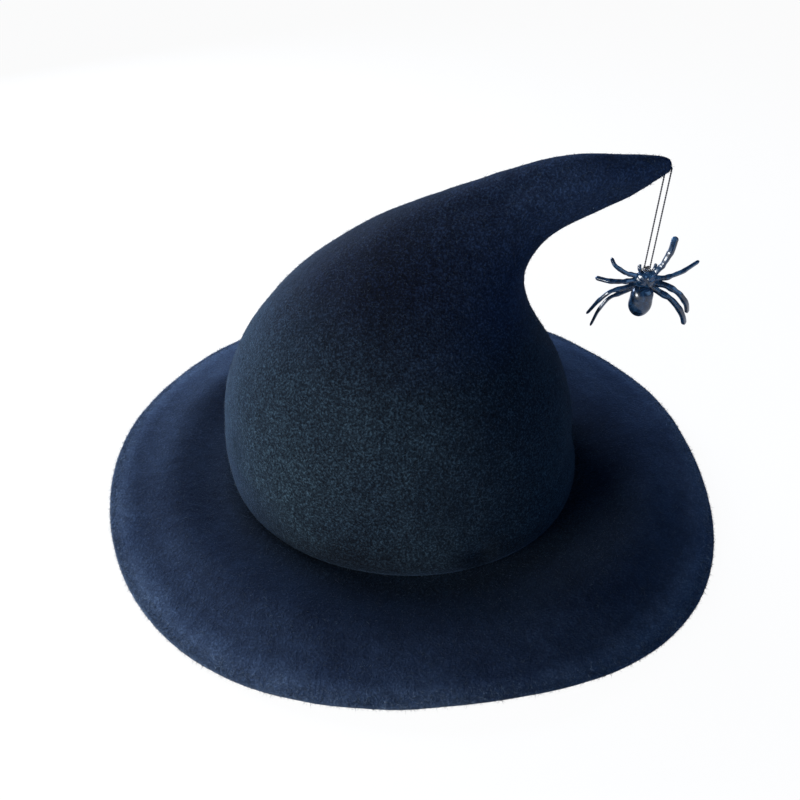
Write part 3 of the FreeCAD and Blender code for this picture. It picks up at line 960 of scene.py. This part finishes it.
def make_stitches(middle):
    """One slightly slack stitch for each stitch of the CAD row, as rounded lengths of thread."""
    vertices, faces = [], []
    sides, steps = 8, 9
    ring_angles = np.arange(sides) / sides * TURN
    generator = np.random.default_rng(31)
    for points in separate_stitches():
        centre = (points.min(axis=0) + points.max(axis=0)) / 2
        heading = math.atan2(centre[1], centre[0] - middle)
        turns = np.arctan2(points[:, 1], points[:, 0] - middle) - heading
        turns = (turns + math.pi) % TURN - math.pi
        start, end = heading + turns.min(), heading + turns.max()
        distance = np.hypot(points[:, 0] - middle, points[:, 1])
        radius = (distance.min() + distance.max()) / 2
        half_thick = min((points[:, 2].max() - points[:, 2].min()) / 2, STITCH_THREAD_RADIUS)
        tilt = generator.uniform(-STITCH_TILT, STITCH_TILT)
        base = len(vertices)
        for step in range(steps):
            share = step / (steps - 1)
            angle = start + share * (end - start)
            thick = half_thick * math.sqrt(max(1.0 - (2 * share - 1) ** 4, 0.02))
            out = Vector((math.cos(angle), math.sin(angle), 0.0))
            hub = Vector((middle, 0, centre[2] + tilt * (share - 0.5))) + out * radius
            for turn in ring_angles:
                rise = Vector((0, 0, thick * math.sin(turn)))
                vertices.append(hub + out * (thick * math.cos(turn)) + rise)
        for step in range(steps - 1):
            for side in range(sides):
                here = base + step * sides + side
                after = base + step * sides + (side + 1) % sides
                faces.append((here, here + sides, after + sides, after))
        faces.append(tuple(base + side for side in range(sides)))
        last = base + (steps - 1) * sides
        faces.append(tuple(last + side for side in reversed(range(sides))))
    dark, pale = (0.012, 0.012, 0.014), (0.05, 0.05, 0.055)
    thread = thread_material("sewing_thread_spun", dark, pale)
    obj = add_object("band_stitching", mesh_from("band_stitching", vertices, faces), thread)
    dress(obj, "hat", "sewing_thread", "sweatband_stitches")


# ---- thread

THREAD_DIAMETER = 0.70 * MM
THREAD_IN_FELT = 1.6 * MM
PULLED_TIGHT = 0.52 * MM
PLY_PITCH = 2.4 * MM
# How much each ply stands out of the thread, as a share of its radius.
PLY_BULGE = 0.24
THREAD_STEP = 0.2 * MM
KNOT_THREAD_RADIUS = 0.27 * MM


def spline_points(name, points):
    """Points of the smooth line that a cord's route gives."""
    curve = bpy.data.curves.new(name, "CURVE")
    curve.dimensions = "3D"
    spline = curve.splines.new("NURBS")
    spline.points.add(len(points) - 1)
    for place, point in zip(spline.points, points):
        place.co = (*point, 1.0)
    spline.order_u = 3
    spline.use_endpoint_u = True
    spline.resolution_u = 40
    obj = bpy.data.objects.new(name, curve)
    bpy.context.scene.collection.objects.link(obj)
    graph = bpy.context.evaluated_depsgraph_get()
    mesh = bpy.data.meshes.new_from_object(obj.evaluated_get(graph))
    line = get_points(mesh)
    bpy.data.objects.remove(obj)
    bpy.data.meshes.remove(mesh)
    return line


def even_points(line, spacing):
    """The same line with evenly spaced points."""
    steps = np.linalg.norm(np.diff(line, axis=0), axis=1)
    keep = np.concatenate([[True], steps > 1e-9])
    line = line[keep]
    lengths = np.concatenate([[0.0], np.cumsum(np.linalg.norm(np.diff(line, axis=0), axis=1))])
    number = max(int(round(lengths[-1] / spacing)), 2) + 1
    wanted = np.linspace(0.0, lengths[-1], number)
    return np.stack([np.interp(wanted, lengths, line[:, k]) for k in range(3)], axis=1)


def twisted_section(length, diameter):
    """Cross-section of two plies twisted round each other."""
    def section(share, angles):
        turn = TURN * share * length / PLY_PITCH
        radius = 0.5 * diameter * (1.0 + PLY_BULGE * np.cos(2 * (angles - turn)))
        return radius * np.cos(angles), radius * np.sin(angles)
    return section


def thread_tube(name, line, material, diameter=THREAD_DIAMETER):
    """Twisted thread along a line, and the line's length."""
    length = float(np.linalg.norm(np.diff(line, axis=0), axis=1).sum())
    mesh = sweep(name, line, twisted_section(length, diameter))
    return add_object(name, mesh, material), length


def make_threads():
    """The two strands, the stitch in the tip, the knot and the tie."""
    dark, pale = (0.014, 0.012, 0.013), (0.075, 0.064, 0.062)
    material = thread_material("hanging_thread_twist", dark, pale)
    felt = cad_tree("felt_crown")
    knot_low, knot_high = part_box("spider_knot")
    knot_height = (knot_low.z + knot_high.z) / 2
    tops = []
    for side in ("left", "right"):
        node = "thread_" + side
        low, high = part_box(node)
        x = (low.x + high.x) / 2
        entry = felt.ray_cast(Vector((x, 0.0, high.z)), Vector((0, 0, 1)))[0]
        top = Vector((x, 0.0, entry.z + THREAD_IN_FELT))
        route = [
            top,
            Vector((x, 0.0, 0.67 * top.z + 0.33 * knot_height)),
            Vector((x, 0.0, 0.33 * top.z + 0.67 * knot_height)),
            Vector((x, 0.0, knot_height)),
        ]
        line = even_points(spline_points(node + "_route", route), THREAD_STEP)
        strand, length = thread_tube("strand_" + side, line, material)
        dress(strand, side + "_strand", "hanging_thread", node)
        tops.append(top)

    left_top, right_top = tops
    stitch_route = np.array([
        left_top,
        left_top + Vector((0.3 * MM, 0, 0.5 * MM)),
        right_top + Vector((-0.3 * MM, 0, 0.5 * MM)),
        right_top,
    ])
    stitch, _ = thread_tube("stitch_thread", even_points(stitch_route, THREAD_STEP), material)
    dress(stitch, "stitch", "hanging_thread", "tip_stitch")

    knot = make_knot(knot_low, knot_high, material)
    tie = make_tie(material)
    spider = make_spider()


def make_knot(low, high, material):
    """Overhand knot that gathers both strands: one closed run of thread, three lobes."""
    centre = (low + high) / 2
    half_width = (high.x - low.x) / 2 - 0.1 * MM
    turns = np.arange(120) / 120 * TURN
    x = (np.sin(turns) + 2 * np.sin(2 * turns)) / 3
    z = (np.cos(turns) - 2 * np.cos(2 * turns)) / 3
    y = -np.sin(3 * turns)
    line = np.stack([
        centre.x + x * half_width * 0.92,
        centre.y + y * 0.45 * MM,
        centre.z + z * 0.60 * MM,
    ], axis=1)

    def section(share, angles):
        return KNOT_THREAD_RADIUS * np.cos(angles), KNOT_THREAD_RADIUS * np.sin(angles)

    mesh = sweep("overhand_knot", np.concatenate([line, line[:1]]), section)
    knot = add_object("overhand_knot", mesh, material)
    return dress(knot, "knot", "hanging_thread", "spider_knot")


def make_tie(material):
    """Two turns of thread round the spider's jaws."""
    low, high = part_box("spider_tie")
    centre = (low + high) / 2
    radius = (high.x - low.x) / 2 - PULLED_TIGHT / 2
    shares = np.linspace(0.0, 1.0, 120)
    turns = shares * 2 * TURN
    line = np.stack([
        centre.x + radius * np.cos(turns),
        centre.y + radius * np.sin(turns),
        centre.z + (shares - 0.5) * 0.30 * MM,
    ], axis=1)
    tie, _ = thread_tube("jaw_tie", line, material, PULLED_TIGHT)
    return dress(tie, "tie", "hanging_thread", "spider_tie")


# ---- spider

def egg_mesh(name, low, high, relief):
    """Closed egg that fills a box. relief(direction) gives a change of radius as a share."""
    rows, columns = 48, 64
    centre = np.array((low + high) / 2)
    half = np.array((high - low) / 2)
    points = []
    for row in range(1, rows):
        polar = math.pi * row / rows
        for column in range(columns):
            turn = TURN * column / columns
            across = math.sin(polar)
            points.append((across * math.cos(turn), across * math.sin(turn), math.cos(polar)))
    directions = np.array([*points, (0, 0, 1), (0, 0, -1)])
    shaped = directions * (1.0 + relief(directions))[:, None]
    vertices = centre + shaped * half
    faces = [tuple(reversed(face)) for face in grid_faces(rows - 1, columns)]
    top, bottom = len(vertices) - 2, len(vertices) - 1
    last = (rows - 2) * columns
    for column in range(columns):
        after = (column + 1) % columns
        faces.append((top, column, after))
        faces.append((bottom, last + after, last + column))
    return mesh_from(name, vertices, faces)


def head_relief(d):
    """Squared-off shield with a groove down its back, radial furrows and a parting line."""
    back = smoothstep(-d[:, 1], 0.0, 0.6)
    groove = np.exp(-(d[:, 0] / 0.10) ** 2) * back * smoothstep(-np.abs(d[:, 2]), -0.75, -0.2)
    turn = np.arctan2(d[:, 0], d[:, 2])
    furrows = 0.5 + 0.5 * np.cos(6 * turn)
    square = 0.10 * (np.abs(d[:, 0]) * np.abs(d[:, 2])) * 2.0
    parting = np.exp(-((d[:, 1] - 0.1) / 0.07) ** 2)
    return square - 0.14 * groove - 0.09 * furrows * back + 0.04 * parting


def abdomen_relief(d):
    """Egg, fuller towards its end, with faint ring folds, a back line and a parting line."""
    back = smoothstep(-d[:, 1], 0.1, 0.7)
    rings = np.cos(9.0 * d[:, 2]) * back
    line = np.exp(-(d[:, 0] / 0.07) ** 2) * back
    parting = np.exp(-((d[:, 1] - 0.1) / 0.05) ** 2)
    fuller = -0.06 * d[:, 2] * (1.0 - d[:, 2] ** 2)
    fuller = fuller + 0.30 * smoothstep(d[:, 2], 0.15, 0.85) * np.hypot(d[:, 0], d[:, 1])
    return fuller - 0.010 * rings + 0.015 * line + 0.018 * parting


def jaw_relief(d):
    """Two lobes side by side, with a waist where the thread is tied."""
    parted = np.exp(-(d[:, 0] / 0.18) ** 2) * smoothstep(d[:, 2], -0.2, 0.6)
    flat_top = 0.24 * smoothstep(d[:, 2], 0.3, 0.9) * np.hypot(d[:, 0], d[:, 1])
    return flat_top - 0.25 * parted - 0.10 * smoothstep(d[:, 2], 0.0, 0.4)


def limb_line(node, head):
    """Centreline of a CAD leg, from the head outwards."""
    mesh = remeshed(node, 0.28 * MM, 2)
    points = get_points(mesh)
    bpy.data.meshes.remove(mesh)
    distance = np.linalg.norm(points - head, axis=1)
    edges = np.linspace(distance.min(), distance.max(), 13)
    line = []
    for low, high in zip(edges[:-1], edges[1:]):
        here = (distance >= low) & (distance <= high)
        if here.any():
            line.append(points[here].mean(axis=0))
    return np.array(line)


def leg_section(root, tip):
    """Flattened section with a keel along the back, a moulding flange and swollen joints."""
    def section(share, angles):
        swell = 0.16 * math.exp(-((share - 0.34) / 0.05) ** 2)
        swell += 0.12 * math.exp(-((share - 0.66) / 0.05) ** 2)
        swell += 0.34 * math.exp(-((share - 0.10) / 0.07) ** 2)
        waist = -0.12 * math.exp(-((share - 0.42) / 0.04) ** 2)
        taper = root + (tip - root) * share
        blunt = math.sqrt(max(1.0 - max((share - 0.94) / 0.06, 0.0) ** 2, 0.03))
        width = taper * (1.0 + swell + waist) * blunt
        keel = 0.32 * np.exp(-((np.abs(angles - TURN / 4)) / 0.30) ** 2)
        flange = 0.16 * np.exp(-(np.sin(angles) / 0.22) ** 2)
        across = 1.05 * width * np.cos(angles) * (1.0 + flange)
        above = 0.76 * width * np.sin(angles) * (1.0 + keel)
        return across, above
    return section


# Root and tip radius of each leg in millimetres, from the first pair to the last.
LEG_RADII = {
    "left": ((1.25, 0.75), (1.25, 1.15), (1.35, 0.70), (1.35, 0.65)),
    "right": ((1.25, 1.55), (1.35, 0.95), (1.50, 1.05), (1.50, 1.20)),
}


def make_spider():
    """Head, abdomen, jaws, palps and legs of the plastic moulding, as a list of pieces."""
    plastic = plastic_material()
    head_low, head_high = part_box("spider_head")
    head_middle = np.array((head_low + head_high) / 2)
    made = []

    def add(name, mesh, node):
        made.append(dress(add_object(name, mesh, plastic), "spider", "spider_plastic", node))

    head = egg_mesh("head_shell", head_low, head_high, head_relief)
    add("head_shell", head, "spider_head")
    low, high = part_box("spider_abdomen")
    add("abdomen_shell", egg_mesh("abdomen_shell", low, high, abdomen_relief), "spider_abdomen")
    low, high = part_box("spider_jaws")
    into_head = Vector((0, 0, -1.2 * MM))
    add("jaw_pair", egg_mesh("jaw_pair", low + into_head, high, jaw_relief), "spider_jaws")

    for side in ("left", "right"):
        node = "spider_palp_" + side
        line = even_points(limb_line(node, head_middle), 0.2 * MM)
        inner = head_middle + 0.45 * (line[0] - head_middle)
        line = even_points(np.concatenate([[inner], line]), 0.25 * MM)
        add("palp_" + side, sweep(node, line, leg_section(0.80 * MM, 0.78 * MM)), node)
        for number in range(1, 5):
            node = "spider_leg_%s_%d" % (side, number)
            line = limb_line(node, head_middle)
            inner = head_middle + 0.35 * (line[0] - head_middle)
            smooth = spline_points(node + "_line", np.concatenate([[inner], line]))
            smooth = even_points(smooth, 0.35 * MM)
            root, tip = LEG_RADII[side][number - 1]
            mesh = sweep(node, smooth, leg_section(root * MM, tip * MM))
            add("leg_%s_%d" % (side, number), mesh, node)
    return made


# ---- build

make_camera()
make_studio()
make_threads()
felt = felt_material()
crown = make_crown(felt)
brim = make_brim(felt)
make_nap(crown, brim)
make_sweatband()
